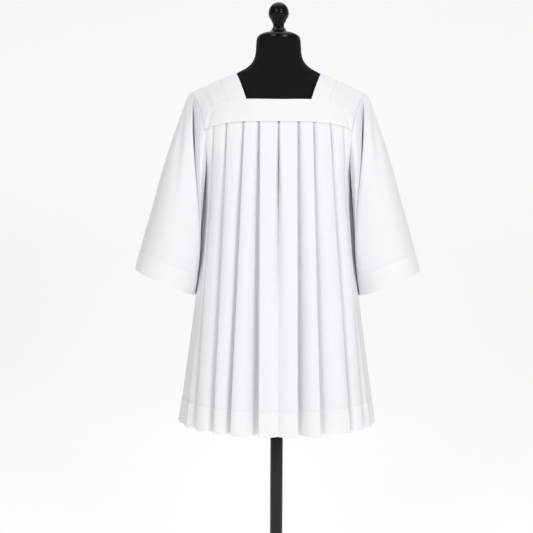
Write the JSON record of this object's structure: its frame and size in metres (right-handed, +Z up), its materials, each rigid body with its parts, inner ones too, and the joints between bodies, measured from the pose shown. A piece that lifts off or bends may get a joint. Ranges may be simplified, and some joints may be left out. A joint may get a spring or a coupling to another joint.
{
  "type": "surplice on a dress form",
  "caption": "Square-yoked white surplice with a pleated body and wide open sleeves, hung on a limbless dress form with a round floor stand.",
  "frame": {"origin": "middle of the underside of the round base, on the floor", "axes": "+Z up; +Y the way the wearer faces, so the back view looks along +Y; +X to the wearer's right"},
  "size_m": [0.714, 0.38, 1.6265],
  "materials": {
    "cloth": "matte plain-woven white cloth with pressed pleats",
    "form_cover": "matte black jersey",
    "gloss_trim": "polished black",
    "stand": "satin black enamel"
  },
  "bodies": {
    "root": {"yoke_band_back": "cloth", "yoke_band_front": "cloth", "neck_strip_left": "cloth", "neck_strip_right": "cloth", "shoulder_panel_left": "cloth", "shoulder_panel_right": "cloth", "pleated_back": "cloth", "pleated_front": "cloth", "sleeve_left": "cloth", "sleeve_right": "cloth", "form_torso": "form_cover", "neck_cap": "gloss_trim", "finial": "gloss_trim", "pole": "stand", "base": "stand"}
  },
  "joints": []
}
